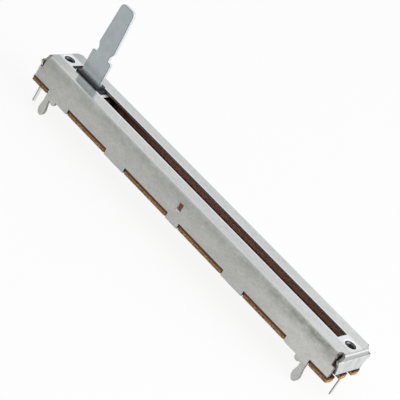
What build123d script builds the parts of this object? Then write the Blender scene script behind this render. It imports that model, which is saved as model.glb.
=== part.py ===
from build123d import *
import math
import os

os.makedirs("parts", exist_ok=True)

# Slide potentiometer with a folded metal case, a flat metal lever and 101 mm of travel.
# Millimetres. X runs along the slot, Y across the case, Z up along the lever.
# Inside this file heights are measured from the case's top face (z = 0), with the slot centred on x = y = 0.
# Every piece is lifted by the reach of the legs when it is written, so the leg tips stand on z = 0.

# Travel of the slider, from which the slot, the hole pitch and the board's length follow
travel = 101.0

# Case, a folded sheet
case_width = 15.05
sheet = 0.8
bend_radius = 1.2
wall_ear_top_z = -4.0
wall_foot_z = -9.35

# Slot and mounting holes in the top face
slot_width = 4.36
slot_end_gap = 1.6
slot_to_thread = 1.25
thread_core_radius = 1.25
thread_mouth_radius = 2.05
thread_lip_radius = 1.65
thread_lip_depth = 0.22
thread_entry_depth = 0.75
thread_collar_wall = 0.5
thread_collar_depth = 1.2

# Faces at the right end, as distances beyond the mounting hole's middle
wall_end_reach = 1.8
wall_ear_reach = 2.85
flap_neck_reach = 3.05
flap_panel_reach = 3.4
board_reach = 3.3

# Small window in the middle of the near side wall
wall_window_length = 1.66
wall_window_top_z = -2.5
wall_window_height = 2.65

# End flaps, bent down from the top and joggled outwards over the board's end
flap_shoulder_inset = 0.15
flap_shoulder_foot_z = -2.75
flap_shoulder_radius = 0.35
flap_between_ears_play = 0.15
flap_between_ears_z = -4.1
flap_foot_inset = 1.925
flap_foot_z = -6.7
flap_joggle_top_z = -2.05
flap_joggle_foot_z = -2.75
flap_joggle_radius = 0.7
flap_corner_radius = 0.4

# Round relief at each corner, a hole of the flat sheet that the three folds meet in
relief_radius = 1.3
relief_depth = 0.65
relief_end_inset = 0.4
relief_side_inset = 0.675

# Tabs of the side walls that pass the board's edge; the outer one is placed from the wall's end
middle_tab_half = 2.4
inner_tab_start_x = 21.2
inner_tab_length = 8.4
outer_tab_length = 9.15
outer_tab_to_end = 5.75

# Lips that are bent under the board, one on each tab
middle_lip_x = 0.5
inner_lip_from_tab = 4.4
outer_lip_from_tab = 1.9
lip_length = 2.3
lip_thickness = 0.6
lip_reach = 2.1
lip_bend_radius = 0.9

# Stand-off nub and snap-in leg at each end of both walls
nub_to_tab_end = 3.15
nub_width = 2.0
nub_corner_radius = 0.8
nub_foot_z = -10.75
leg_neck_width = 1.65
leg_neck_inset = 0.1
leg_neck_length = 1.2
leg_notch_top_z = -10.3
leg_bulb_width = 2.6
leg_bulb_top_z = -13.5
leg_bulb_foot_z = -14.7
leg_tip_z = -15.85
leg_tip_flat = 0.9
leg_tip_radius = 0.85

# Board
board_edge_inset = 0.025
board_top_z = -7.6
board_thickness = 1.6
board_play = 0.1
board_lug_width = 2.6
board_corner_lug_width = 2.225
board_notch_depth = 2.0
board_tab_play = 0.25
board_tab_radius = 0.6

# Printed tracks on the board
print_thickness = 0.04
track_width = 2.2
track_to_brush_edge = 1.6
carbon_short_of_travel = 0.5
silver_end_length = 4.5
lead_width = 1.2

# Terminals with their eyelets
terminal_thickness = 0.4
terminal_width = 1.1
terminal_ring_radius = 1.3
terminal_bend_radius = 0.2
terminal_tip_chamfer = 0.25
left_pin_to_board_end = 2.5
left_pin_to_wall = 1.825
left_pin_tip_z = -15.6
right_pin_to_board_end = 0.3
right_pin_y = 0.2
right_pin_tip_z = -15.2
left_eyelet_to_pin = 1.75
right_eyelet_to_pin = 3.6
eyelet_radius = 0.8
eyelet_wall = 0.22
eyelet_flange_radius = 1.2
eyelet_flange = 0.2
pad_width = 3.0

# Clearances of the slider
side_play = 0.1
slide_play = 0.05

# Carrier, the slider's moulded block
carrier_half_length = 7.0
carrier_deck_top_z = -2.4
carrier_deck_foot_z = -5.6
carrier_recess = 0.12
carrier_skid_width = 1.1
carrier_runner_width = 1.2
carrier_pad_length = 2.2
carrier_pad_centre_x = 5.4
boss_half_length = 4.6
boss_play = 0.23
boss_top_z = 0.6
boss_rim_chamfer = 0.15
shoulder_half_length = 5.3
shoulder_top_z = -0.35
carrier_edge_break = 0.35
stake_radius = 0.5
stake_head_radius = 0.8
stake_head_height = 0.35
stake_x = 5.9

# Lever, a punched blade held in the carrier
lever_thickness = 1.25
lever_half_width = 4.0
lever_shoulder_z = 8.15
lever_shoulder_radius = 0.4
lever_notch_half_width = 2.5
lever_notch_top_z = 9.8
lever_notch_radius = 0.35
lever_neck_radius = 0.8
lever_cap_foot_z = 11.2
lever_cap_foot_half_width = 3.28
lever_cap_foot_radius = 0.6
lever_cap_top_half_width = 2.65
lever_tip_z = 25.1
lever_tip_radius = 1.5
lever_edge_break = 0.12
lever_foot_half_width = 3.0
lever_step_z = -1.2
lever_foot_z = -5.0

# Bowed leaf spring between the carrier and the case's top
leaf_thickness = 0.2
leaf_to_runner = 0.7
leaf_flat_half_length = 3.2
leaf_crown_x = 6.1
leaf_end_x = 6.95
leaf_end_drop = 0.25
leaf_bend_radius = 1.2
leaf_window_play = 0.1

# Contact brush, one bronze sheet clipped round the carrier's deck
brush_thickness = 0.2
brush_to_skid = 1.2
brush_hook_inset = 0.9
brush_hook_length = 0.9
brush_bend_radius = 0.3
finger_count = 4
finger_width = 0.36
finger_pitch = 0.54
finger_thickness = 0.12
finger_root_x = 4.2
finger_flat = 0.6
finger_tip_length = 1.1
finger_bend_radius = 0.6
finger_window_play = 0.3
finger_window_end_x = -2.0

# Lengths that follow from the sizes above
slot_length = travel + 2 * (boss_half_length + slot_end_gap)
mount_pitch = slot_length + 2 * (thread_mouth_radius + slot_to_thread)
wall_end_x = mount_pitch / 2 + wall_end_reach
wall_ear_end_x = mount_pitch / 2 + wall_ear_reach
flap_neck_face_x = mount_pitch / 2 + flap_neck_reach
board_half_length = mount_pitch / 2 + board_reach
inner_tab = (inner_tab_start_x, inner_tab_start_x + inner_tab_length)
outer_tab_end_x = wall_end_x - outer_tab_to_end
outer_tab = (outer_tab_end_x - outer_tab_length, outer_tab_end_x)
lip_centres = (middle_lip_x, inner_tab[0] + inner_lip_from_tab, outer_tab[0] + outer_lip_from_tab)
nub_centre_x = outer_tab_end_x - nub_to_tab_end
leg_centre_x = outer_tab_end_x - leg_neck_width / 2 - leg_neck_inset
left_pin_x = left_pin_to_board_end - board_half_length
right_pin_x = board_half_length - right_pin_to_board_end
left_eyelet_x = left_pin_x + left_eyelet_to_pin
right_eyelet_x = right_pin_x - right_eyelet_to_pin
carbon_half_length = travel / 2 - carbon_short_of_travel
slider_rest_x = -travel / 2

# Widths and heights that follow
half_width = case_width / 2
inner_half_width = half_width - sheet
top_under_z = -sheet
flap_shoulder_half_width = half_width - flap_shoulder_inset
flap_between_ears_half_width = inner_half_width - flap_between_ears_play
flap_foot_half_width = half_width - flap_foot_inset
relief_x = flap_neck_face_x - relief_end_inset
relief_y = half_width - relief_side_inset
board_half_width = half_width - board_edge_inset
board_inner_half_width = inner_half_width - board_play
board_notch_outer_y = board_inner_half_width - board_corner_lug_width
board_foot_z = board_top_z - board_thickness
print_top_z = board_top_z + print_thickness
terminal_foot_z = board_foot_z - terminal_thickness
left_pin_y = inner_half_width - left_pin_to_wall
carrier_half_width = inner_half_width - side_play
carrier_body_half_width = carrier_half_width - carrier_recess
leaf_half_width = carrier_body_half_width - carrier_runner_width - leaf_to_runner
brush_half_width = carrier_body_half_width - carrier_skid_width - brush_to_skid
brush_hook_half_width = brush_half_width - brush_hook_inset
brush_foot_z = carrier_deck_foot_z - brush_thickness
track_y = brush_half_width - track_to_brush_edge
case_depth = -leg_tip_z
stand_height = -leg_tip_z
cutter = 2 * case_width


def block(x0, x1, y0, y1, z0, z1):
    """Box between two corners"""
    size = (x1 - x0, y1 - y0, z1 - z0)
    middle = ((x0 + x1) / 2, (y0 + y1) / 2, (z0 + z1) / 2)
    return Pos(*middle) * Box(*size)


def panel(x0, x1, y0, y1):
    """Flat rectangle between two corners"""
    return Pos((x0 + x1) / 2, (y0 + y1) / 2) * Rectangle(x1 - x0, y1 - y0)


def closed_outline(points, radii):
    """Flat face inside a closed outline with rounded corners"""
    return make_face(FilletPolyline(*points, radius=radii, close=True))


def both_ends(shape):
    """The shape and its mirror image at the other end of the case"""
    return shape + mirror(shape, about=Plane.YZ)


def both_sides(shape):
    """The shape and its mirror image across the slot"""
    return shape + mirror(shape, about=Plane.XZ)


def bent_strip(points, radii, thickness, width):
    """Sheet bent along a line in the XZ plane, centred on y = 0"""
    line = FilletPolyline(*points, radius=radii)
    return extrude(Plane.XZ * trace(line, line_width=thickness), amount=width / 2, both=True)


# Case

def case_channel():
    """Top and two side walls, before the walls are cut to their outline"""
    reach = wall_ear_end_x
    outer = Pos(0, -case_depth / 2) * Rectangle(case_width, case_depth)
    outer = fillet(outer.vertices().sort_by(Axis.Y)[-2:], bend_radius)
    inner = Pos(0, top_under_z - case_depth / 2) * Rectangle(2 * inner_half_width, case_depth)
    inner = fillet(inner.vertices().sort_by(Axis.Y)[-2:], bend_radius - sheet)
    return extrude(Plane.YZ * (outer - inner), amount=reach, both=True)


def leg_outline():
    """Spoon-shaped leg, from the wall down to its tip"""
    neck_in = leg_centre_x - leg_neck_width / 2
    neck_out = outer_tab_end_x
    neck_foot_z = leg_notch_top_z - leg_neck_length
    bulb = leg_bulb_width / 2
    flat = leg_tip_flat / 2
    points = [
        (neck_out, board_top_z), (neck_out, neck_foot_z),
        (leg_centre_x + bulb, leg_bulb_top_z), (leg_centre_x + bulb, leg_bulb_foot_z),
        (leg_centre_x + flat, leg_tip_z), (leg_centre_x - flat, leg_tip_z),
        (leg_centre_x - bulb, leg_bulb_foot_z), (leg_centre_x - bulb, leg_bulb_top_z),
        (neck_in, neck_foot_z), (neck_in, board_top_z),
    ]
    bow = leg_bulb_width
    tip = leg_tip_radius
    return closed_outline(points, [0, bow, bow / 2, bow, tip, tip, bow, bow / 2, bow, 0])


def wall_outline():
    """Side wall seen from the front, for the right half of the case"""
    wall = panel(0, wall_end_x, board_top_z, 0)
    ear = panel(0, wall_ear_end_x, board_top_z, wall_ear_top_z)
    tabs = panel(0, middle_tab_half, wall_foot_z, board_top_z)
    tabs += panel(*inner_tab, wall_foot_z, board_top_z)
    tabs += panel(*outer_tab, wall_foot_z, board_top_z)
    nub = panel(nub_centre_x - nub_width / 2, nub_centre_x + nub_width / 2, nub_foot_z, board_top_z)
    nub = fillet(nub.vertices().sort_by(Axis.Y)[:2], nub_corner_radius)
    web = panel(nub_centre_x, leg_centre_x, leg_notch_top_z, board_top_z)
    return wall + ear + tabs + nub + web + leg_outline()


def lip(centre_x):
    """Lip of the near wall, bent under the board"""
    foot_z = board_foot_z - lip_thickness
    root_z = board_foot_z + sheet
    end_y = -half_width + lip_reach
    points = [
        (-half_width, root_z), (-half_width, foot_z), (end_y, foot_z),
        (end_y, board_foot_z), (-inner_half_width, board_foot_z), (-inner_half_width, root_z),
    ]
    section = closed_outline(points, [0, lip_bend_radius, 0, 0, 0, 0])
    return Pos(centre_x - lip_length / 2, 0, 0) * extrude(Plane.YZ * section, amount=lip_length)


def end_flap():
    """Right end flap: its side section, drawn from the neck's face, cut to its front outline"""
    middle = sheet / 2
    panel_x = flap_panel_reach - flap_neck_reach - middle
    line = [
        (wall_end_x - flap_neck_face_x, -middle), (-middle, -middle), (-middle, flap_joggle_top_z),
        (panel_x, flap_joggle_foot_z), (panel_x, flap_foot_z),
    ]
    radii = [bend_radius - middle, flap_joggle_radius, flap_joggle_radius]
    folded = Pos(flap_neck_face_x, 0, 0) * bent_strip(line, radii, sheet, case_width)
    side = [
        (flap_shoulder_half_width, bend_radius), (flap_shoulder_half_width, flap_shoulder_foot_z),
        (flap_between_ears_half_width, flap_between_ears_z), (flap_foot_half_width, flap_foot_z),
    ]
    outline = side + [(-y, z) for y, z in reversed(side)]
    radii = [0, flap_shoulder_radius, flap_shoulder_radius, flap_corner_radius]
    front = closed_outline(outline, radii + radii[::-1])
    return folded & extrude(Plane.YZ * front, amount=wall_ear_end_x + bend_radius)


def corner_relief():
    """Round hole where the top, the near wall and the right flap meet, as it lies after folding"""
    reach = 2 * relief_radius
    through_top = Circle(relief_radius) + panel(0, reach, -reach, 0)
    through_top += panel(-relief_radius, 0, -reach, 0) + panel(0, reach, 0, relief_radius)
    through_top = Pos(relief_x, -relief_y, -relief_depth) * extrude(through_top, amount=relief_depth + sheet)
    hole = Circle(relief_radius)
    through_wall = Pos(relief_x, -relief_y, -relief_depth) * extrude(Plane.XZ * hole, amount=reach)
    through_flap = Pos(wall_end_x, -relief_y, -relief_depth) * extrude(Plane.YZ * hole, amount=reach)
    return through_top + through_wall + through_flap


def drawn_thread():
    """Collar drawn down from the top face, and the hole through it with its lip and thread entry"""
    foot_z = top_under_z - thread_collar_depth
    collar = Pos(0, 0, foot_z / 2) * Cylinder(thread_core_radius + thread_collar_wall, -foot_z)
    points = [
        (0, foot_z - sheet), (thread_core_radius, foot_z - sheet), (thread_core_radius, -thread_entry_depth),
        (thread_lip_radius, -thread_lip_depth), (thread_mouth_radius, 0),
        (thread_mouth_radius, sheet), (0, sheet),
    ]
    hole = revolve(Plane.XZ * make_face(Polyline(*points, close=True)), Axis.Z)
    return collar, hole


def cover():
    """Folded case with its slot, drawn threads, reliefs, flaps, lips, nubs and legs"""
    side = Plane.XZ * both_ends(wall_outline())
    case = case_channel() & extrude(side, amount=half_width, both=True)
    case += both_ends(end_flap())
    case -= both_ends(both_sides(corner_relief()))
    for centre_x in lip_centres:
        lips = both_sides(lip(centre_x))
        case += lips if centre_x < middle_tab_half else both_ends(lips)
    case -= block(-slot_length / 2, slot_length / 2, -slot_width / 2, slot_width / 2, 2 * top_under_z, sheet)
    collar, hole = drawn_thread()
    for x in (-mount_pitch / 2, mount_pitch / 2):
        case = case + Pos(x, 0, 0) * collar - Pos(x, 0, 0) * hole
    half_window = wall_window_length / 2
    window_foot_z = wall_window_top_z - wall_window_height
    case -= block(-half_window, half_window, -case_width, 0, window_foot_z, wall_window_top_z)
    return case


# Board and printed tracks

def board_outline():
    """Board seen from above, stepped in where the walls' tabs pass it"""
    outline = Rectangle(2 * board_half_length, 2 * board_inner_half_width)
    edges = [middle_tab_half, *inner_tab, *outer_tab, board_half_length + board_tab_play]
    for low, high in zip(edges[::2], edges[1::2]):
        tab = panel(low + board_tab_play, high - board_tab_play, -board_half_width, board_half_width)
        tab = fillet(tab.vertices(), board_tab_radius)
        outline += tab + mirror(tab, about=Plane.YZ)
    notch_x = board_half_length - board_notch_depth
    notch = panel(notch_x, board_half_length + sheet, board_lug_width / 2, board_notch_outer_y)
    notch += mirror(notch, about=Plane.XZ)
    return outline - notch - mirror(notch, about=Plane.YZ)


def eyelet_places():
    """Middle of each eyelet, in the order of the terminals"""
    return [(left_eyelet_x, -left_pin_y), (left_eyelet_x, left_pin_y), (right_eyelet_x, right_pin_y)]


def base_board():
    """Insulating board that closes the case from below"""
    outline = board_outline()
    for place in eyelet_places():
        outline -= Pos(*place) * Circle(eyelet_radius)
    return Pos(0, 0, board_foot_z) * extrude(outline, amount=board_thickness)


def printed(shape):
    """Thin print on the board's top face"""
    return Pos(0, 0, board_top_z) * extrude(shape, amount=print_thickness)


def lead(start, turn, place):
    """Narrow lead from a track to the square pad at an eyelet"""
    line = Polyline(start, turn, place)
    pad = Rectangle(pad_width, pad_width) - Circle(eyelet_radius)
    return trace(line, line_width=lead_width) - Pos(*place) * Circle(eyelet_radius) + Pos(*place) * pad


def resistive_track():
    """Carbon track under one set of fingers"""
    half = track_width / 2
    return printed(panel(-carbon_half_length, carbon_half_length, track_y - half, track_y + half))


def silver_end(side, turn, place):
    """Silver print that takes one end of the carbon track to its eyelet"""
    half = track_width / 2
    low, high = sorted((side * carbon_half_length, side * (carbon_half_length + silver_end_length)))
    pad = panel(low, high, track_y - half, track_y + half)
    start = (side * (carbon_half_length + silver_end_length - lead_width), track_y)
    return printed(pad + lead(start, turn, place))


def collector_track():
    """Silver track under the other set of fingers, with its lead to the first eyelet"""
    half = track_width / 2
    reach = carbon_half_length + silver_end_length
    strip = panel(-reach, reach, -track_y - half, -track_y + half)
    place = eyelet_places()[0]
    return printed(strip + lead((-reach + lead_width, -track_y), (-reach - lead_width, -track_y), place))


# Terminals

def terminal(place, pin_x, tip_z):
    """Flat strip riveted under the board and bent down as a pin"""
    eyelet_x, y = place
    middle_z = board_foot_z - terminal_thickness / 2
    line = [(0, middle_z), (pin_x - eyelet_x, middle_z), (pin_x - eyelet_x, tip_z)]
    radius = terminal_bend_radius + terminal_thickness / 2
    strip = Pos(eyelet_x, y, 0) * bent_strip(line, [radius], terminal_thickness, terminal_width)
    tip = strip.faces().sort_by(Axis.Z)[0]
    strip = chamfer(tip.edges().filter_by(Axis.X), terminal_tip_chamfer)
    ring = Pos(eyelet_x, y, middle_z) * Cylinder(terminal_ring_radius, terminal_thickness)
    return strip + ring - Pos(eyelet_x, y, middle_z) * Cylinder(eyelet_radius, 2 * terminal_thickness)


def eyelet(place):
    """Hollow rivet with one flange on the print and one under the terminal"""
    top_z = print_top_z + eyelet_flange
    foot_z = terminal_foot_z - eyelet_flange
    bore = eyelet_radius - eyelet_wall
    points = [
        (bore, foot_z), (eyelet_flange_radius, foot_z), (eyelet_flange_radius, terminal_foot_z),
        (eyelet_radius, terminal_foot_z), (eyelet_radius, print_top_z),
        (eyelet_flange_radius, print_top_z), (eyelet_flange_radius, top_z), (bore, top_z),
    ]
    section = make_face(Polyline(*points, close=True))
    return Pos(place[0], place[1], 0) * revolve(Plane.XZ * section, Axis.Z)


# Slider, drawn about its own middle and moved to its rest place when written

def lever():
    """Punched blade: foot in the carrier, neck notches under the knob seat, rounded tip"""
    side = [
        (lever_foot_half_width, lever_foot_z), (lever_foot_half_width, lever_step_z),
        (lever_half_width, lever_step_z), (lever_half_width, lever_shoulder_z),
        (lever_notch_half_width, lever_shoulder_z), (lever_notch_half_width, lever_notch_top_z),
        (lever_cap_foot_half_width, lever_cap_foot_z), (lever_cap_top_half_width, lever_tip_z),
    ]
    radii = [0, 0, 0, lever_shoulder_radius, lever_notch_radius, lever_neck_radius,
             lever_cap_foot_radius, lever_tip_radius]
    outline = closed_outline(side + [(-x, z) for x, z in reversed(side)], radii + radii[::-1])
    blade = extrude(Plane.XZ * outline, amount=lever_thickness / 2, both=True)
    rims = [face.edges() for face in blade.faces().filter_by(Axis.Y)]
    return chamfer(rims[0] + rims[1], lever_edge_break)


def carrier_stakes():
    """Posts through the brush, closed below by melted heads"""
    post_height = carrier_deck_foot_z - brush_foot_z
    post = Pos(0, 0, carrier_deck_foot_z - post_height / 2) * Cylinder(stake_radius, post_height)
    head = Pos(0, 0, brush_foot_z - stake_head_height / 2) * Cylinder(stake_head_radius, stake_head_height)
    return both_ends(Pos(stake_x, 0, 0) * (post + head))


def slider_carrier():
    """Moulded block: deck, skids on the board, runners under the top, boss round the lever"""
    length = carrier_half_length
    width = carrier_body_half_width
    skid_top = carrier_deck_foot_z
    deck = block(-length, length, -width, width, carrier_deck_foot_z, carrier_deck_top_z)
    deck = chamfer(deck.edges().filter_by(Axis.Z) + deck.edges().filter_by(Axis.Y), carrier_edge_break)
    skid = block(-length, length, width - carrier_skid_width, width, print_top_z + slide_play, skid_top)
    skid = chamfer(skid.faces().sort_by(Axis.Z)[0].edges().filter_by(Axis.Y), carrier_edge_break)
    runner_top = top_under_z - 2 * slide_play
    runner = block(-length, length, width - carrier_runner_width, width, carrier_deck_top_z, runner_top)
    runner = chamfer(runner.faces().sort_by(Axis.Z)[-1].edges().filter_by(Axis.Y), carrier_edge_break)
    pad = block(carrier_pad_centre_x - carrier_pad_length / 2, carrier_pad_centre_x + carrier_pad_length / 2,
                width, carrier_half_width, carrier_deck_foot_z + carrier_edge_break,
                carrier_deck_top_z - carrier_edge_break)
    boss_half = slot_width / 2 - boss_play
    boss = block(-boss_half_length, boss_half_length, -boss_half, boss_half, carrier_deck_top_z, boss_top_z)
    boss = fillet(boss.edges().filter_by(Axis.Z), carrier_edge_break)
    boss = chamfer(boss.faces().sort_by(Axis.Z)[-1].edges(), boss_rim_chamfer)
    shoulder = block(-shoulder_half_length, shoulder_half_length, -boss_half, boss_half,
                     carrier_deck_top_z, shoulder_top_z)
    shoulder = chamfer(shoulder.faces().sort_by(Axis.Z)[-1].edges().filter_by(Axis.Y), carrier_edge_break)
    carrier = deck + boss + shoulder + carrier_stakes()
    carrier += both_sides(skid) + both_sides(runner) + both_ends(both_sides(pad))
    return carrier - lever()


def guide_spring():
    """Bowed leaf round the boss; its two crowns bear on the underside of the top"""
    half = leaf_thickness / 2
    flat_z = carrier_deck_top_z + half
    crown_z = top_under_z - slide_play - half
    rise = math.atan2(crown_z - flat_z, leaf_crown_x - leaf_flat_half_length)
    fall = math.atan2(leaf_end_drop, leaf_end_x - leaf_crown_x)
    turn = (rise + fall) / 2
    peak_z = crown_z + leaf_bend_radius * (math.cos((rise - fall) / 2) / math.cos(turn) - 1)
    side = [(leaf_flat_half_length, flat_z), (leaf_crown_x, peak_z), (leaf_end_x, peak_z - leaf_end_drop)]
    line = [(-x, z) for x, z in reversed(side)] + side
    leaf = bent_strip(line, [leaf_bend_radius] * 4, leaf_thickness, 2 * leaf_half_width)
    window_x = shoulder_half_length + leaf_window_play
    window_y = slot_width / 2 - boss_play + leaf_window_play
    leaf -= block(-window_x, window_x, -window_y, window_y, carrier_deck_top_z - sheet, 0)
    return fillet(leaf.edges().filter_by(Axis.Z), leaf_thickness)


def brush_finger():
    """One sprung finger, from the brush's plate down to the track and up at its tip"""
    root_z = carrier_deck_foot_z - brush_thickness / 2
    touch_z = print_top_z + slide_play + finger_thickness / 2
    bend_x = finger_root_x - finger_flat
    slope = math.atan2(root_z - touch_z, bend_x)
    low_z = touch_z - finger_bend_radius * (1 / math.cos(slope) - 1)
    tip = (-finger_tip_length * math.cos(slope), low_z + finger_tip_length * math.sin(slope))
    line = [(finger_root_x, root_z), (bend_x, root_z), (0, low_z), tip]
    return bent_strip(line, [finger_bend_radius] * 2, finger_thickness, finger_width)


def contact_brush():
    """Bronze brush: plate under the deck, hooks over its ends, two sets of fingers"""
    half = brush_thickness / 2
    end_x = carrier_half_length + half
    hook_z = carrier_deck_top_z + half
    plate_z = carrier_deck_foot_z - half
    side = [(end_x, plate_z), (end_x, hook_z), (end_x - brush_hook_length, hook_z)]
    line = [(-x, z) for x, z in reversed(side)] + side
    brush = bent_strip(line, [brush_bend_radius] * 4, brush_thickness, 2 * brush_half_width)
    above_plate = carrier_deck_foot_z + brush_bend_radius
    trim = block(-2 * end_x, 2 * end_x, brush_hook_half_width, cutter, above_plate, 0)
    brush -= both_sides(trim)
    set_half = (finger_count - 1) * finger_pitch / 2 + finger_width / 2 + finger_window_play
    window = block(finger_window_end_x, finger_root_x, track_y - set_half, track_y + set_half,
                   brush_foot_z - sheet, carrier_deck_foot_z)
    brush -= both_sides(window)
    for side_y in (-track_y, track_y):
        for index in range(finger_count):
            offset = (index - (finger_count - 1) / 2) * finger_pitch
            brush += Pos(0, side_y + offset, 0) * brush_finger()
    stake_hole = Pos(stake_x, 0, plate_z) * Cylinder(stake_radius, 2 * brush_thickness)
    return brush - both_ends(stake_hole)


# Writing

def write(name, shape, x=0.0):
    """Write one piece, lifted so that the leg tips stand on z = 0"""
    solids = shape.solids()
    piece = solids[0] if len(solids) == 1 else Compound(children=solids)
    export_step(Pos(x, 0, stand_height) * piece, "parts/" + name + ".step")


places = eyelet_places()
write("cover", cover())
write("base_board", base_board())
write("resistive_track", resistive_track())
write("collector_track", collector_track())
track_end_x = carbon_half_length + silver_end_length
write("track_end_left", silver_end(-1, (-track_end_x - lead_width, track_y), places[1]))
write("track_end_right", silver_end(1, (track_end_x + lead_width, track_y), places[2]))
for index, place in enumerate(places):
    on_left = index < 2
    pin_x = left_pin_x if on_left else right_pin_x
    tip_z = left_pin_tip_z if on_left else right_pin_tip_z
    write("terminal_" + str(index + 1), terminal(place, pin_x, tip_z))
    write("terminal_eyelet_" + str(index + 1), eyelet(place))
write("lever", lever(), slider_rest_x)
write("slider_carrier", slider_carrier(), slider_rest_x)
write("guide_spring", guide_spring(), slider_rest_x)
write("contact_brush", contact_brush(), slider_rest_x)
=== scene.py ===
import math

import bpy
from mathutils import Matrix, Vector


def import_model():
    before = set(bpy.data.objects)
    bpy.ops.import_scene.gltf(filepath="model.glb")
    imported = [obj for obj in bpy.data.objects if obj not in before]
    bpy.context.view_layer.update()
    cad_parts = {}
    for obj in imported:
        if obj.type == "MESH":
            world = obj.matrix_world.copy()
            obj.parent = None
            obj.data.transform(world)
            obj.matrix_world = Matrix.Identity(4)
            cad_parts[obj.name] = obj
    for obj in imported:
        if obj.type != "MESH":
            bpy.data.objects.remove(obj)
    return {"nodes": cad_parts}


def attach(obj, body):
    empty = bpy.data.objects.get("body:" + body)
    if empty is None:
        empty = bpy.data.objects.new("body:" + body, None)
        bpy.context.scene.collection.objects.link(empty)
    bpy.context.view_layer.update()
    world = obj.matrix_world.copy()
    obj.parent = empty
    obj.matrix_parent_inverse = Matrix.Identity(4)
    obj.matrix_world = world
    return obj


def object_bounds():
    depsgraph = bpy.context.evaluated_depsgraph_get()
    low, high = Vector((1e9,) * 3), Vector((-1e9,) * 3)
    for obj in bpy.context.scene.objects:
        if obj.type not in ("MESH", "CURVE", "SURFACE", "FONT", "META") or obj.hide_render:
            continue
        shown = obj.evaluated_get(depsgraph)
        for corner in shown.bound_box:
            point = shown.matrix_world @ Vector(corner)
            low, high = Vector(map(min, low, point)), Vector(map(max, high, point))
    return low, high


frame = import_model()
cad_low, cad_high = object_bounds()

MM = 0.001
WHITE = (1, 1, 1)


# Places on the part, in metres

def top_of(node):
    """Height of a node's highest point"""
    return max(vertex.co.z for vertex in frame["nodes"][node].data.vertices)


def below_top(deep, shallow):
    """Two heights on the cover, given in millimetres below its top face"""
    return COVER_TOP - deep * MM, COVER_TOP - shallow * MM


def along_cover(start, end):
    """Two places along the cover, given as shares of its half length"""
    return start * COVER_REACH, end * COVER_REACH


# Folded cover and its board
COVER_REACH = cad_high[0]
COVER_HALF_WIDTH = cad_high[1]
COVER_TOP = top_of("cover")
BOARD_TOP = top_of("base_board")
SHEET = 0.8 * MM
BEND_RADIUS = 1.2 * MM
JOGGLE = 0.35 * MM
FLAP_FACES = (COVER_REACH - JOGGLE, COVER_REACH)
BOARD_LIP_TOP = COVER_TOP - 9 * MM
SLOT_HALF_WIDTH = 2.18 * MM

# Corner reliefs at the ends of the cover
RELIEF_START = COVER_REACH - 2.2 * MM
RELIEF_INSIDE = COVER_HALF_WIDTH - 2.125 * MM
RELIEF_FOOT = COVER_TOP - 2.65 * MM

# Window in the near wall
WINDOW_REACH = 1.0 * MM
WINDOW_FOOT = COVER_TOP - 5.35 * MM

# Drawn holes: radii of the wall and of the lip round it, and the tapered entry
HOLE_X = COVER_REACH - 3.4 * MM
HOLE_WALL = 1.7 * MM
HOLE_LIP = 2.1 * MM
ENTRY_RADIUS = 1.6 * MM
ENTRY_DEPTH = 0.25 * MM
ENTRY_SLOPE = 0.75

# Rolled M3 thread: its profile gives the height and the place across the ridge
THREAD_RADIUS = 1.5 * MM
THREAD_PITCH = 0.5 * MM
THREAD_CORE = THREAD_RADIUS - 0.5 * THREAD_PITCH
THREAD_HEIGHT = 0.3 * THREAD_PITCH
THREAD_WIDTH = 0.96 * THREAD_PITCH
THREAD_START = 0.34 * MM
THREAD_TURNS = 3.2
THREAD_PROFILE = ((0.0, 0.5), (0.75, 0.3), (1.0, 0.08), (1.0, -0.08), (0.75, -0.3), (0.0, -0.5))

# Steps of the thread's mesh: in one turn, and over which the ridge rises and dies out
THREAD_STEPS = 40
THREAD_RISE = 12
THREAD_END = 8

# Zones of the cover: in each, a tone changes from the first place to the second
TOP_ZONE = below_top(0.28, 0.10)
FLAP_ZONE = (FLAP_FACES[0] - 0.7 * MM, FLAP_FACES[0] - 0.5 * MM)
PANEL_ZONE = below_top(2.25, 2.05)
LEG_ZONE = (BOARD_TOP - 2.2 * MM, BOARD_TOP - 1.8 * MM)
LEG_ENDS = along_cover(-0.9, 0.9)
# Over the next zone the painted light and the dark band grow toward the right end; over the two after it
# the cover darkens toward the left end
BRIGHT_END = along_cover(0.45, 0.85)
DARKER_LEFT_END = along_cover(-1.0, -0.82)
DULL_END = along_cover(-0.97, -0.84)
# Painted highlight: the top face is lighter over the next zone beside the slot
SLOT_RIM = (SLOT_HALF_WIDTH + 0.25 * MM, SLOT_HALF_WIDTH + 0.75 * MM)
BAND_TOP = below_top(0.45, 0.22)
BAND_FOOT = below_top(4.8, 1.2)

# Painted lines on the cover: two dark lines of shade at the ridges and a highlight on each end flap, and
# a highlight along each fold
FLAP_RIDGES = (COVER_TOP - 1.35 * MM, COVER_TOP - 2.0 * MM)
FLAP_SHINE = COVER_TOP - 0.5 * MM
FOLD_SHINE = COVER_HALF_WIDTH - 0.875 * MM

# Zones of the cover's inside, seen through the slot, where the board's reflection and shade are painted
INNER_FACES = (COVER_HALF_WIDTH - 0.7 * MM, COVER_HALF_WIDTH - 0.5 * MM)
INNER_ENDS = (COVER_REACH - 4.5 * MM, COVER_REACH - 3.5 * MM)
INNER_TOP = below_top(1.2, 0.9)
INNER_FOOT = (BOARD_TOP - 0.1 * MM, BOARD_TOP + 0.1 * MM)
STRIP_FOOT = below_top(4.95, 4.55)
STRIP_TOP = below_top(4.45, 4.15)
STRIP_LEFT = along_cover(-0.6, -0.3)
BESIDE_SLIDER = along_cover(-0.54, -0.38)
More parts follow.
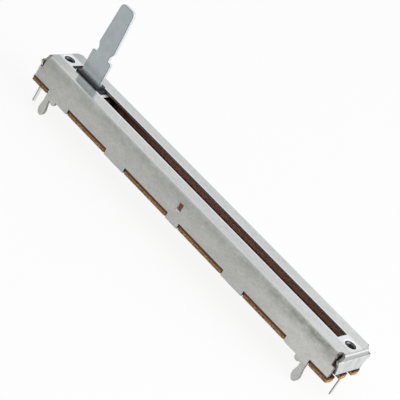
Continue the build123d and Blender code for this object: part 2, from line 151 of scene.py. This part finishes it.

# Zones of the lever and of the board
# Painted light on the blade grows toward the case over the next two zones
FOOT_LIGHT_ZONE = (COVER_TOP + 0.8 * MM, COVER_TOP + 2.8 * MM)
BLADE_LIGHT_ZONE = (COVER_TOP + 3 * MM, COVER_TOP + 11 * MM)
# Painted shade under the cover's wall: the upper part of the board's cut edge is darkened over the next
# zone
EDGE_SHADE_ZONE = (BOARD_TOP - 0.72 * MM, BOARD_TOP - 0.52 * MM)
BOARD_FACE = (BOARD_TOP - 0.04 * MM, BOARD_TOP - 0.02 * MM)
BOARD_SHADE = (COVER_REACH - 9.5 * MM, COVER_REACH - 8 * MM)
# Painted light on the right end of the board's cut edge
BOARD_LIGHT_END = (COVER_REACH - 1.2 * MM, COVER_REACH - 0.4 * MM)
FIBRE_BURR = 0.10 * MM

# Tones of the cover, from dark to light
WALL_TONES = ((0.485, 0.49, 0.465), (0.58, 0.585, 0.555))
# Painted light: the top is given lighter tones than the walls, as light from above
LIT_TOP_TONES = ((0.52, 0.53, 0.53), (0.61, 0.62, 0.62))
# Painted shade and light: the flap's neck is given darker tones and its panel lighter ones
SHADED_NECK_TONES = ((0.385, 0.39, 0.385), (0.475, 0.485, 0.48))
LIT_PANEL_TONES = ((0.44, 0.45, 0.44), (0.635, 0.645, 0.64))
# Painted reflection of the board on the inner faces
BOARD_REFLECTION_TONES = ((0.90, 0.68, 0.56), (1.0, 0.80, 0.66))
SPOT_TONES = ((0.86, 0.86, 0.85), WHITE)
GRAIN_TONES = ((0.76, 0.76, 0.76), WHITE)
# Painted highlight beside the slot and along the folds
PAINTED_HIGHLIGHT = (0.74, 0.75, 0.76)
SHINE = (0.92, 0.93, 0.94)
BAND_GREY = (0.24, 0.25, 0.215)
EDGE_GREY = (0.17, 0.17, 0.165)
TORN_TONES = ((0.22, 0.217, 0.21), (0.36, 0.355, 0.345))
DARK_BORDER = (0.035, 0.034, 0.032)
# Painted shade in the drawn holes
SHADED_BORE_TONES = ((0.035, 0.035, 0.034), (0.09, 0.09, 0.085))

# Tones of the lever and its carrier, from dark to light
BLADE_TONES = ((0.38, 0.42, 0.43), (0.43, 0.47, 0.48))
BLADE_LINES = ((0.9, 0.9, 0.9), WHITE)
BLADE_OUTLINE = (0.15, 0.17, 0.18)
# Painted dark reflection on the blade's broken corner
BREAK_TONES = ((0.13, 0.14, 0.16), (0.20, 0.215, 0.235))
ACETAL_TONES = ((0.011, 0.012, 0.014), (0.018, 0.019, 0.024))

# Tones of the board: its cut edge, the painted shade along its upper part and its faces
GOLDEN_STOPS = ((0.34, (0.095, 0.042, 0.013)), (0.50, (0.245, 0.132, 0.044)), (0.66, (0.47, 0.30, 0.13)))
EDGE_SHADE_STOPS = ((0.34, (0.032, 0.010, 0.006)), (0.66, (0.14, 0.044, 0.022)))
SKIN_TONES = ((0.46, 0.18, 0.105), (0.58, 0.24, 0.14))

# Light that the surround throws on the object; cameras and reflections see the surround white
WORLD_LIGHT = 0.55

# Floor, whose glow shows to cameras and in reflections only
FLOOR_REACH = 3.0
FLOOR_COLOUR = (0.92, 0.92, 0.92, 1)
FLOOR_GLOW = 0.88

# Lamps
KEY = {"place": (0.9, 0.1, 0.4), "size": (1.2, 0.7), "power": 11}
BACK = {"place": (-0.50, 0.92, 0.57), "size": (0.9, 0.7), "power": 0.3}

# Camera of the photograph, in metres, degrees and millimetres of film
CAMERA_PLACE = Vector((0.214455, -0.394097, 0.244192))
CAMERA_AIM = Vector((0.0, 0.0, 0.013816))
CAMERA_ROLL = 31.63
CAMERA_LENS = 166.673
CAMERA_SENSOR = 36.0
CAMERA_NEAREST = 0.01

# Range of a noise over which its tones change, the wider one of the clouds, and a mask's whole range
NOISE_SPAN = (0.3, 0.7)
CLOUD_SPAN = (0.25, 0.75)
MASK = (0, 1)

# Cosine between a face and its rounded corner: on the open face, and at the corner
FLAT_COSINE = 0.995
FOLDED_COSINE = 0.93

# How strongly a bare surface reflects, and how strongly plastic and board do
GLOSSY = 0.5
WAXY = 0.3


# Node helpers

class Shader:
    """A material's nodes, with short calls for the few kinds that this scene needs"""

    def __init__(self, name):
        self.material = bpy.data.materials.new(name)
        self.material.use_nodes = True
        self.tree = self.material.node_tree
        self.surface = self.tree.nodes["Principled BSDF"]
        self.place = self.add("ShaderNodeTexCoord").outputs["Object"]

    def add(self, kind, **settings):
        """A new node with its settings"""
        node = self.tree.nodes.new(kind)
        for key, value in settings.items():
            setattr(node, key, value)
        return node

    def link(self, source, target):
        """Joins a node's output to another's input"""
        self.tree.links.new(source, target)

    def feed(self, source, target):
        """Gives a socket a number or a colour, or links it to another socket"""
        if isinstance(source, (int, float)):
            target.default_value = source
        elif isinstance(source, tuple):
            target.default_value = (*source, 1)
        else:
            self.link(source, target)

    def set(self, **values):
        """Fixed values of the surface"""
        for key, value in values.items():
            self.surface.inputs[key.replace("_", " ")].default_value = value

    def coat(self, colour, roughness, metallic, reflection=GLOSSY):
        """The surface's colour and roughness, how metallic it is and how strongly it reflects"""
        self.link(colour, self.surface.inputs["Base Color"])
        self.link(roughness, self.surface.inputs["Roughness"])
        self.set(Metallic=metallic, Specular_IOR_Level=reflection)

    def stretched(self, stretch):
        """Object coordinates scaled along each axis, for grain that runs one way"""
        mapping = self.add("ShaderNodeMapping")
        mapping.inputs["Scale"].default_value = stretch
        self.link(self.place, mapping.inputs["Vector"])
        return mapping.outputs["Vector"]

    def noise(self, size, detail=3.0, stretch=(1, 1, 1), roughness=0.55):
        """Noise whose blobs are about size metres wide"""
        node = self.add("ShaderNodeTexNoise")
        node.inputs["Scale"].default_value = 1 / size
        node.inputs["Detail"].default_value = detail
        node.inputs["Roughness"].default_value = roughness
        self.link(self.stretched(stretch), node.inputs["Vector"])
        return node.outputs["Fac"]

    def axis(self, name):
        """One coordinate of the place on the object"""
        node = self.add("ShaderNodeSeparateXYZ")
        self.link(self.place, node.inputs[0])
        return node.outputs[name]

    def spread(self, value, low=0, high=1, zone=NOISE_SPAN):
        """A value that crosses a zone, taken to a value between low and high"""
        node = self.add("ShaderNodeMapRange")
        node.inputs["From Min"].default_value = zone[0]
        node.inputs["From Max"].default_value = zone[1]
        node.inputs["To Min"].default_value = low
        node.inputs["To Max"].default_value = high
        self.link(value, node.inputs["Value"])
        return node.outputs["Result"]

    def maths(self, operation, first, second=0.0):
        """One arithmetic step on two values or numbers"""
        node = self.add("ShaderNodeMath", operation=operation)
        self.feed(first, node.inputs[0])
        self.feed(second, node.inputs[1])
        return node.outputs[0]

    def product(self, first, *others):
        """Values or numbers multiplied together"""
        for other in others:
            first = self.maths("MULTIPLY", first, other)
        return first

    def outside(self, mask):
        """One where a mask is zero, and zero where it is one"""
        return self.maths("SUBTRACT", 1.0, mask)

    def line(self, value, centre, strength, core, reach):
        """A soft line: full within core metres of its centre and gone at reach metres"""
        away = self.maths("ABSOLUTE", self.maths("SUBTRACT", value, centre))
        return self.spread(away, strength, 0, (core, reach))

    def tint(self, value, *stops):
        """A colour ramp over a value; each stop is a place and a colour"""
        node = self.add("ShaderNodeValToRGB")
        ramp = node.color_ramp
        while len(ramp.elements) < len(stops):
            ramp.elements.new(0.5)
        for element, (place, colour) in zip(ramp.elements, stops):
            element.position = place
            element.color = (*colour, 1)
        self.link(value, node.inputs["Fac"])
        return node.outputs["Color"]

    def mottle(self, value, tones, zone=NOISE_SPAN):
        """A colour that goes from the first tone to the second as a value crosses a zone"""
        return self.tint(value, (zone[0], tones[0]), (zone[1], tones[1]))

    def blend(self, factor, first, second, mode="MIX"):
        """Two colours mixed by a value or a number"""
        node = self.add("ShaderNodeMix", data_type="RGBA", blend_type=mode)
        self.feed(factor, node.inputs[0])
        self.feed(first, node.inputs[6])
        self.feed(second, node.inputs[7])
        return node.outputs[2]

    def shade(self, colour, tone, strength):
        """A colour multiplied by another, as strongly as a number says"""
        return self.blend(strength, colour, tone, "MULTIPLY")

    def scaled(self, colour, factor):
        """A colour made lighter or darker by a value"""
        node = self.add("ShaderNodeVectorMath", operation="SCALE")
        self.link(colour, node.inputs[0])
        self.link(factor, node.inputs["Scale"])
        return node.outputs[0]

    def edges(self, reach, strength):
        """A mask that is full within reach metres of a fold or cut, and zero on open faces"""
        bevel = self.add("ShaderNodeBevel", samples=8)
        bevel.inputs["Radius"].default_value = reach
        flat = self.add("ShaderNodeNewGeometry").outputs["True Normal"]
        across = self.add("ShaderNodeVectorMath", operation="DOT_PRODUCT")
        self.link(bevel.outputs["Normal"], across.inputs[0])
        self.link(flat, across.inputs[1])
        return self.spread(across.outputs["Value"], 0, strength, (FLAT_COSINE, FOLDED_COSINE))

    def bump(self, height, depth, strength, edge=0.0):
        """Relief of a depth in metres on the surface, with punched edges rounded by edge metres"""
        node = self.add("ShaderNodeBump")
        node.inputs["Strength"].default_value = strength
        node.inputs["Distance"].default_value = depth
        self.link(height, node.inputs["Height"])
        if edge:
            bevel = self.add("ShaderNodeBevel", samples=6)
            bevel.inputs["Radius"].default_value = edge
            self.link(bevel.outputs["Normal"], node.inputs["Normal"])
        self.link(node.outputs["Normal"], self.surface.inputs["Normal"])


class Plating(Shader):
    """The cover's plating, with the noises and masks that its tones share"""

    def __init__(self, name):
        super().__init__(name)
        self.clouds = self.noise(2.6 * MM, detail=5.0, stretch=(0.5, 1, 1), roughness=0.6)
        self.spots = self.noise(0.8 * MM, stretch=(0.6, 1, 1))
        self.grain = self.noise(0.34 * MM, stretch=(0.7, 1, 1), roughness=0.7)
        self.along = self.axis("X")
        self.height = self.axis("Z")
        self.end_reach = self.maths("ABSOLUTE", self.along)
        self.side_reach = self.maths("ABSOLUTE", self.axis("Y"))
        self.on_top = self.spread(self.height, zone=TOP_ZONE)
        self.on_flap = self.spread(self.end_reach, zone=FLAP_ZONE)
        self.toward_right = self.spread(self.along, zone=BRIGHT_END)


# Tones of the cover

def bare_sheet(s):
    """Cloudy grey of the walls and the top, the top painted lighter as light from above, with spots and
    rolled grain
    """
    wall = s.mottle(s.clouds, WALL_TONES, zone=CLOUD_SPAN)
    top = s.mottle(s.clouds, LIT_TOP_TONES, zone=CLOUD_SPAN)
    colour = s.blend(s.on_top, wall, top)
    spots = s.mottle(s.spots, SPOT_TONES, zone=(0.3, 0.65))
    grain = s.mottle(s.grain, GRAIN_TONES, zone=(0.35, 0.65))
    return s.shade(s.shade(colour, spots, strength=0.5), grain, strength=0.8)


def lengthwise_tones(s, colour):
    """Darker toward the left end, painted lighter toward the right end as light from that side, with the
    legs' own tone
    """
    left_darkening = s.spread(s.along, 0.84, 1.0, DARKER_LEFT_END)
    # Painted light: lighter toward the right end, where the light falls
    painted_right_light = s.product(s.toward_right, s.spread(s.on_top, 0.20, 0.13, MASK))
    colour = s.scaled(colour, s.maths("ADD", left_darkening, painted_right_light))
    dull_end = s.product(s.on_top, s.spread(s.along, 0.15, 0, DULL_END))
    colour = s.scaled(colour, s.outside(dull_end))
    on_legs = s.spread(s.height, 1, 0, LEG_ZONE)
    leg_tone = s.product(on_legs, s.spread(s.along, 0.10, -0.11, LEG_ENDS))
    return s.scaled(colour, s.maths("ADD", 1.0, leg_tone))


def painted_highlights(s, colour):
    """Painted highlights on the top face beside the slot and along the folds"""
    beside_slot = s.product(s.on_top, s.spread(s.side_reach, 0.75, 0, SLOT_RIM))
    colour = s.blend(beside_slot, colour, PAINTED_HIGHLIGHT)
    fold = s.line(s.side_reach, FOLD_SHINE, strength=0.5, core=0.08 * MM, reach=0.3 * MM)
    return s.blend(s.product(s.on_top, fold), colour, PAINTED_HIGHLIGHT)


def dark_band(s, colour):
    """Dark mottled band under the folds of the walls, stronger toward the right end"""
    under_fold = s.product(s.spread(s.height, 1, 0, BAND_TOP), s.spread(s.height, 0, 1, BAND_FOOT))
    band = s.product(under_fold, s.outside(s.on_flap), s.spread(s.toward_right, 0.5, 1.0, MASK))
    patches = s.maths("ADD", s.clouds, s.product(s.spots, 0.6))
    mottled = s.spread(patches, 1.0, 0.4, zone=(0.62, 0.95))
    return s.blend(s.product(band, mottled), colour, BAND_GREY)


def end_flap(s, colour):
    """Streaked panel painted lighter under a joggled neck painted darker, as light and shade, with two
    painted dark lines of shade at the ridges and a painted highlight along the fold
    """
    streaks = s.noise(0.6 * MM, detail=2.0, stretch=(1, 1, 0.12))
    panel = s.mottle(streaks, LIT_PANEL_TONES, zone=(0.35, 0.6))
    flap = s.blend(s.spread(s.height, 1, 0, PANEL_ZONE), s.mottle(s.spots, SHADED_NECK_TONES), panel)
    # Painted shade: dark lines at the ridges of the joggle
    for ridge in FLAP_RIDGES:
        dark_line = s.line(s.height, ridge, strength=0.6, core=0.05 * MM, reach=0.17 * MM)
        flap = s.blend(dark_line, flap, EDGE_GREY)
    # Painted highlight along the fold of the flap
    shine = s.line(s.height, FLAP_SHINE, strength=0.45, core=0.05 * MM, reach=0.26 * MM)
    return s.blend(s.on_flap, colour, s.blend(shine, flap, SHINE))


def inside(s, colour):
    """Inner faces of the walls: painted reflection of the brown board, with painted shade at their foot
    and toward the left, and a painted shadow beside the slider
    """
    inner = s.product(s.spread(s.side_reach, 1, 0, INNER_FACES), s.spread(s.end_reach, 1, 0, INNER_ENDS),
                      s.spread(s.height, 1, 0, INNER_TOP), s.spread(s.height, 0, 1, INNER_FOOT))
    # Painted reflection of the board, with painted shade at the foot and toward the left end
    warm = s.scaled(s.mottle(s.spots, BOARD_REFLECTION_TONES), s.spread(s.height, 0.2, 1.0, STRIP_FOOT))
    warm = s.scaled(warm, s.spread(s.along, 0.62, 1.0, STRIP_LEFT))
    # Painted shadow of the lever and carrier beside the slider; it stays there when the lever moves
    shaded = s.product(s.spread(s.along, 1, 0, BESIDE_SLIDER), s.spread(s.height, 0, 0.42, STRIP_TOP))
    return s.blend(inner, colour, s.scaled(warm, s.outside(shaded)))


# Materials

def plated_steel():
    """Tin-plated sheet: warm grey with fine grain, dull under the folds, painted lighter on top and on
    the flaps as light, with painted highlights, shade and reflection
    """
    s = Plating("plated_steel")
    colour = bare_sheet(s)
    for tone in (lengthwise_tones, painted_highlights, dark_band, end_flap, inside):
        colour = tone(s, colour)
    colour = s.blend(s.edges(0.16 * MM, strength=0.6), colour, EDGE_GREY)
    satin = s.spread(s.clouds, 0.28, 0.36)
    polished = s.spread(s.clouds, 0.15, 0.20)
    on_top = s.product(s.on_top, s.maths("SUBTRACT", polished, satin))
    s.coat(colour, s.maths("ADD", satin, on_top), metallic=0.76)
    s.bump(s.maths("ADD", s.grain, s.spots), depth=0.003 * MM, strength=0.5, edge=0.05 * MM)
    return s.material


def sheared_edge():
    """Cut edge of the case's sheet: torn grey middle between two dark borders"""
    s = Shader("sheared_edge")
    tears = s.noise(0.2 * MM, stretch=(1, 1, 0.3))
    border = s.edges(0.26 * MM, strength=0.9)
    colour = s.blend(border, s.mottle(tears, TORN_TONES), DARK_BORDER)
    s.coat(colour, s.spread(tears, 0.38, 0.55), metallic=0.85)
    s.bump(tears, depth=0.015 * MM, strength=0.6, edge=0.05 * MM)
    return s.material


def lever_steel():
    """Nickel-plated blade: blue-grey flats with faint drawn lines, painted lighter near the case as
    light
    """
    s = Shader("lever_steel")
    clouds = s.noise(2.4 * MM)
    lines = s.noise(0.30 * MM, detail=2.0, stretch=(1, 1, 0.06))
    height = s.axis("Z")
    colour = s.shade(s.mottle(clouds, BLADE_TONES), s.mottle(lines, BLADE_LINES), strength=0.3)
    # Painted light, lighter toward the case
    painted_light = s.maths("ADD", s.spread(height, 0.75, 0, FOOT_LIGHT_ZONE), s.spread(height, 0.14, 0, BLADE_LIGHT_ZONE))
    colour = s.scaled(colour, s.maths("ADD", 1.0, painted_light))
    colour = s.blend(s.edges(0.22 * MM, strength=0.55), colour, BLADE_OUTLINE)
    s.coat(colour, s.spread(lines, 0.30, 0.40), metallic=0.85)
    s.bump(lines, depth=0.002 * MM, strength=0.5)
    return s.material


def phenolic():
    """Paper-filled board: golden cut edge with coarse fibres, painted shade along its upper part and
    painted light at its right end, red-brown faces with painted shade toward the ends
    """
    s = Shader("phenolic")
    clouds = s.noise(1.6 * MM, detail=4.0)
    fibres = s.noise(0.42 * MM, stretch=(0.5, 1, 1), roughness=0.7)
    along = s.axis("X")
    height = s.axis("Z")
    # Painted light on the right end of the cut edge
    golden = s.scaled(s.tint(fibres, *GOLDEN_STOPS), s.spread(along, 1.0, 1.4, BOARD_LIGHT_END))
    ragged = s.maths("ADD", height, s.spread(fibres, -FIBRE_BURR, FIBRE_BURR))
    # Painted shade along the upper part of the cut edge, under the cover's wall
    cut = s.blend(s.spread(ragged, zone=EDGE_SHADE_ZONE), golden, s.tint(fibres, *EDGE_SHADE_STOPS))
    lit = s.spread(s.maths("ABSOLUTE", along), 1.0, 0.12, BOARD_SHADE)
    skin = s.scaled(s.mottle(clouds, SKIN_TONES), lit)
    colour = s.blend(s.spread(height, zone=BOARD_FACE), cut, skin)
    s.coat(colour, s.spread(fibres, 0.5, 0.65), metallic=0.0, reflection=WAXY)
    s.bump(fibres, depth=0.04 * MM, strength=0.7)
    return s.material


def plain(name, tones, rough, metallic, grain, bump, clouds=None, reflection=GLOSSY):
    """One finish all over: its clouds or else its grain colour it, and its grain roughens it"""
    s = Shader(name)
    lines = s.noise(**grain)
    tone = s.noise(**clouds) if clouds else lines
    s.coat(s.mottle(tone, tones), s.spread(lines, *rough), metallic, reflection)
    s.bump(lines, **bump)
    return s.material


def bore_steel():
    """Wall of a drawn hole, painted dark as shade in the hole, turned to a dull shine by the tap"""
    return plain("bore_steel", SHADED_BORE_TONES, rough=(0.3, 0.45), metallic=0.8,
                 grain={"size": 0.25 * MM, "detail": 2.0, "stretch": (0.4, 0.4, 1.5)},
                 bump={"depth": 0.01 * MM, "strength": 0.5})


def highlight_metal(name, dark, light):
    """Bright metal painted as a highlight: the blade's punched rim, the lips of the drawn holes and the
    window's faces turned to the light
    """
    return plain(name, (dark, light), rough=(0.24, 0.34), metallic=0.7,
                 grain={"size": 0.25 * MM, "detail": 2.0},
                 bump={"depth": 0.0004 * MM, "strength": 0.4})


def lever_break():
    """Narrow broken corner between the blade's flat and its rim, dull, with a painted dark reflection"""
    return plain("lever_break", BREAK_TONES, rough=(0.4, 0.5), metallic=0.8,
                 grain={"size": 0.2 * MM, "detail": 2.0},
                 bump={"depth": 0.003 * MM, "strength": 0.5})


def printed(name, dark, light, rough, metallic):
    """Screen-printed film with slight streaks along the track"""
    return plain(name, (dark, light), (rough, rough + 0.12), metallic,
                 grain={"size": 0.25 * MM, "stretch": (0.08, 1, 1)},
                 bump={"depth": 0.004 * MM, "strength": 0.5})


def sheet_metal(name, dark, light, rough, edge=0.03 * MM):
    """Small metal piece: cloudy colour, fine scratches and softened edges"""
    return plain(name, (dark, light), (rough, rough + 0.14), metallic=0.9,
                 clouds={"size": 1.2 * MM},
                 grain={"size": 0.15 * MM, "detail": 2.0, "stretch": (1, 0.2, 0.3)},
                 bump={"depth": 0.003 * MM, "strength": 0.6, "edge": edge})


def black_acetal():
    """Moulded black plastic, slightly waxy, with a fine cast texture"""
    return plain("black_acetal", ACETAL_TONES, rough=(0.34, 0.48), metallic=0.0, reflection=WAXY,
                 clouds={"size": 1.8 * MM},
                 grain={"size": 0.12 * MM, "detail": 2.0},
                 bump={"depth": 0.006 * MM, "strength": 0.5, "edge": 0.05 * MM})


# Kinds of face on the cover, the lever and the terminals, in the order of their materials
PLATED, CUT, BORE, LIP = range(4)
FLAT, RIM, BREAK = range(3)
NARROW, BROAD = range(2)

# How much of a face's normal lies along an axis when it faces that way, is square to it or slants
FACING = 0.9
SQUARE = 0.05
SLANTED = 0.02
BLADE_FACING = 0.95
RIM_FACING = 0.2

# How far below or beside a flat face the next one begins
SKIN = 0.01 * MM
STEP = 0.1 * MM


def near(value, targets, tolerance=0.02 * MM):
    """Whether a value lies at one of the targets"""
    return any(abs(value - target) < tolerance for target in targets)


def is_flat(normal, centre):
    """Whether a face of the cover is an open face of its top, walls or flaps"""
    if abs(normal.z) > FACING and near(centre.z, (COVER_TOP, COVER_TOP - SHEET)):
        return True
    if abs(normal.y) > FACING and near(abs(centre.y), (COVER_HALF_WIDTH, COVER_HALF_WIDTH - SHEET)):
        return True
    flaps = [face - depth for face in FLAP_FACES for depth in (0, SHEET)]
    return abs(normal.x) > FACING and near(abs(centre.x), flaps)


def is_bent(normal, centre):
    """Whether a face of the cover belongs to a fold or to a lip under the board"""
    bent = BEND_RADIUS + STEP
    side_bend = abs(normal.x) < SQUARE and abs(centre.y) > COVER_HALF_WIDTH - bent
    end_bend = abs(normal.y) < SQUARE and abs(centre.x) > FLAP_FACES[0] - bent
    lip = abs(normal.x) < SQUARE and abs(centre.y) < COVER_HALF_WIDTH and centre.z < BOARD_LIP_TOP
    slanted = min(abs(normal.z), max(abs(normal.x), abs(normal.y))) > SLANTED
    return lip or slanted and (side_bend or end_bend)


def cover_face_kind(polygon):
    """Plated face or bend, cut edge, wall of a drawn hole, or lip of a hole or the window painted as a
    highlight
    """
    normal, centre = polygon.normal, polygon.center
    from_hole = math.hypot(abs(centre.x) - HOLE_X, centre.y)
    below = centre.z < COVER_TOP - SKIN
    if from_hole < HOLE_WALL and centre.z < COVER_TOP - STEP:
        return BORE
    if from_hole < HOLE_LIP and below:
        return LIP
    if abs(centre.x) > RELIEF_START and abs(centre.y) > RELIEF_INSIDE and centre.z > RELIEF_FOOT:
        return CUT if below else PLATED
    in_window = abs(centre.x) < WINDOW_REACH and centre.y < SHEET - COVER_HALF_WIDTH
    # Painted highlight: faces of the window turned to the light from the right and from above
    if in_window and normal.x + normal.z > FACING:
        return LIP if centre.z > WINDOW_FOOT else CUT
    return PLATED if is_flat(normal, centre) or is_bent(normal, centre) else CUT


def lever_face_kind(polygon):
    """Flat of the blade, its punched rim with a painted highlight, or the broken corner between them
    with a painted dark reflection
    """
    across = abs(polygon.normal.y)
    if across > BLADE_FACING:
        return FLAT
    return RIM if across < RIM_FACING else BREAK


def pin_face_kind(polygon):
    """Broad or narrow face of a terminal"""
    return BROAD if max(abs(polygon.normal.x), abs(polygon.normal.z)) > FACING else NARROW


# Pieces

def smooth(obj, angle=30.0):
    """Soft shading across round stretches, sharp at real edges"""
    for polygon in obj.data.polygons:
        polygon.use_smooth = True
    obj.data.set_sharp_from_angle(angle=math.radians(angle))


def dress(node, material):
    """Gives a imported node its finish"""
    obj = frame["nodes"][node]
    obj.data.materials.clear()
    obj.data.materials.append(material)
    smooth(obj)


def finish_faces(node, kind, *materials):
    """Adds further finishes to a node and gives each face the one of its kind"""
    obj = frame["nodes"][node]
    for material in materials:
        obj.data.materials.append(material)
    for polygon in obj.data.polygons:
        polygon.material_index = kind(polygon)


def thread_vertices(centre_x):
    """Rows of the ridge's profile, wound down the entry and the bore"""
    rows = int(THREAD_TURNS * THREAD_STEPS)
    vertices = []
    for row in range(rows + 1):
        turn = row / THREAD_STEPS
        angle = 2 * math.pi * turn
        fade = min(1.0, row / THREAD_RISE, (rows - row) / THREAD_END)
        for height, offset in THREAD_PROFILE:
            depth = THREAD_START + THREAD_PITCH * turn - THREAD_WIDTH * offset
            wall = max(THREAD_CORE, ENTRY_RADIUS - ENTRY_SLOPE * (depth - ENTRY_DEPTH))
            radius = wall - THREAD_HEIGHT * height * fade
            x = centre_x + radius * math.cos(angle)
            vertices.append((x, radius * math.sin(angle), COVER_TOP - depth))
    return vertices


def thread(name, centre_x, flank, crest):
    """Rolled thread inside a drawn hole: one helical ridge"""
    vertices = thread_vertices(centre_x)
    width = len(THREAD_PROFILE)
    strips = width - 1
    faces = []
    for start in range(0, len(vertices) - width, width):
        for a in range(start, start + strips):
            faces.append((a, a + width, a + width + 1, a + 1))
    mesh = bpy.data.meshes.new(name)
    mesh.from_pydata(vertices, [], faces)
    mesh.materials.append(flank)
    mesh.materials.append(crest)
    for index, polygon in enumerate(mesh.polygons):
        polygon.material_index = 1 if index % strips == strips // 2 else 0
    obj = bpy.data.objects.new(name, mesh)
    bpy.context.collection.objects.link(obj)
    smooth(obj, angle=50)
    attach(obj, "root")


# Stage, lights and camera

def floor():
    """Pale floor that shows as white and keeps the object's shadow"""
    mesh = bpy.data.meshes.new("floor")
    corners = [(-1, -1), (1, -1), (1, 1), (-1, 1)]
    mesh.from_pydata([(x * FLOOR_REACH, y * FLOOR_REACH, 0) for x, y in corners], [], [(0, 1, 2, 3)])
    obj = bpy.data.objects.new("floor", mesh)
    bpy.context.collection.objects.link(obj)
    s = Shader("floor_paper")
    s.set(Roughness=0.9, Base_Color=FLOOR_COLOUR)
    glow = s.add("ShaderNodeEmission")
    seen = s.add("ShaderNodeLightPath").outputs
    direct = s.maths("MAXIMUM", seen["Is Camera Ray"], seen["Is Glossy Ray"])
    direct = s.maths("MAXIMUM", direct, seen["Is Transmission Ray"])
    mix = s.add("ShaderNodeMixShader")
    s.link(s.product(direct, FLOOR_GLOW), mix.inputs[0])
    s.link(s.surface.outputs[0], mix.inputs[1])
    s.link(glow.outputs[0], mix.inputs[2])
    s.link(mix.outputs[0], s.tree.nodes["Material Output"].inputs["Surface"])
    mesh.materials.append(s.material)


def world():
    """Plain studio surround, white to the camera and in reflections"""
    surround = bpy.data.worlds.new("studio")
    bpy.context.scene.world = surround
    surround.use_nodes = True
    tree = surround.node_tree
    background = tree.nodes["Background"]
    background.inputs["Color"].default_value = (1, 1, 1, 1)
    seen = tree.nodes.new("ShaderNodeLightPath")
    white = seen.outputs["Is Camera Ray"]
    for kind in ("Is Glossy Ray", "Is Transmission Ray"):
        either = tree.nodes.new("ShaderNodeMath")
        either.operation = "MAXIMUM"
        tree.links.new(white, either.inputs[0])
        tree.links.new(seen.outputs[kind], either.inputs[1])
        white = either.outputs[0]
    level = tree.nodes.new("ShaderNodeMapRange")
    level.inputs["To Min"].default_value = WORLD_LIGHT
    level.inputs["To Max"].default_value = 1.0
    tree.links.new(white, level.inputs["Value"])
    tree.links.new(level.outputs["Result"], background.inputs["Strength"])


def softbox(name, place, size, power):
    """Area lamp aimed at the part"""
    lamp = bpy.data.lights.new(name, "AREA")
    lamp.shape = "RECTANGLE"
    lamp.size, lamp.size_y = size
    lamp.energy = power
    obj = bpy.data.objects.new(name, lamp)
    obj.location = place
    obj.rotation_euler = (-Vector(place)).to_track_quat("-Z", "Y").to_euler()
    bpy.context.collection.objects.link(obj)


def camera():
    """The photograph's camera"""
    lens = bpy.data.cameras.new("camera")
    lens.lens = CAMERA_LENS
    lens.sensor_width = CAMERA_SENSOR
    lens.clip_start = CAMERA_NEAREST
    obj = bpy.data.objects.new("camera", lens)
    turned = (CAMERA_PLACE - CAMERA_AIM).to_track_quat("Z", "Y").to_matrix()
    rolled = turned @ Matrix.Rotation(math.radians(CAMERA_ROLL), 3, "Z")
    obj.matrix_world = Matrix.Translation(CAMERA_PLACE) @ rolled.to_4x4()
    bpy.context.collection.objects.link(obj)
    bpy.context.scene.camera = obj


# Painted highlight on the blade's rim
highlight_rim = highlight_metal("highlight_rim", (0.60, 0.63, 0.67), (0.74, 0.77, 0.81))
# Painted highlight on the lips of the holes and the window
highlight_lip = highlight_metal("highlight_lip", (0.84, 0.86, 0.89), (0.92, 0.94, 0.97))
carbon = printed("carbon", (0.020, 0.019, 0.018), (0.045, 0.043, 0.040), 0.38, 0.0)
silver = printed("silver_print", (0.40, 0.38, 0.33), (0.58, 0.56, 0.50), 0.32, 0.8)
tinned = sheet_metal("tinned_brass", (0.26, 0.26, 0.25), (0.38, 0.38, 0.37), 0.28)
tinned_face = sheet_metal("tinned_face", (0.70, 0.70, 0.68), (0.84, 0.84, 0.82), 0.26)
brass = sheet_metal("eyelet_brass", (0.26, 0.17, 0.065), (0.38, 0.26, 0.115), 0.32)
nickel = sheet_metal("spring_nickel", (0.55, 0.53, 0.55), (0.70, 0.68, 0.70), 0.22)
bronze = sheet_metal("bronze", (0.50, 0.24, 0.10), (0.68, 0.36, 0.16), 0.26)
# Painted shade on the thread's flanks and a painted highlight on its crest
flank = sheet_metal("thread_flank", (0.03, 0.03, 0.03), (0.07, 0.07, 0.068), 0.35, 0.0)
crest = sheet_metal("thread_crest", (0.24, 0.24, 0.23), (0.40, 0.40, 0.39), 0.3, 0.0)

dress("cover", plated_steel())
finish_faces("cover", cover_face_kind, sheared_edge(), bore_steel(), highlight_lip)
dress("base_board", phenolic())
dress("resistive_track", carbon)
dress("collector_track", silver)
dress("track_end_left", silver)
dress("track_end_right", silver)
for number in ("1", "2", "3"):
    dress("terminal_" + number, tinned)
    finish_faces("terminal_" + number, pin_face_kind, tinned_face)
    dress("terminal_eyelet_" + number, brass)
dress("lever", lever_steel())
finish_faces("lever", lever_face_kind, highlight_rim, lever_break())
dress("slider_carrier", black_acetal())
dress("guide_spring", nickel)
dress("contact_brush", bronze)
thread("thread_left", -HOLE_X, flank, crest)
thread("thread_right", HOLE_X, flank, crest)

floor()
world()
softbox("key_right", **KEY)
softbox("behind_top", **BACK)
camera()
bpy.context.scene.view_settings.view_transform = "Standard"
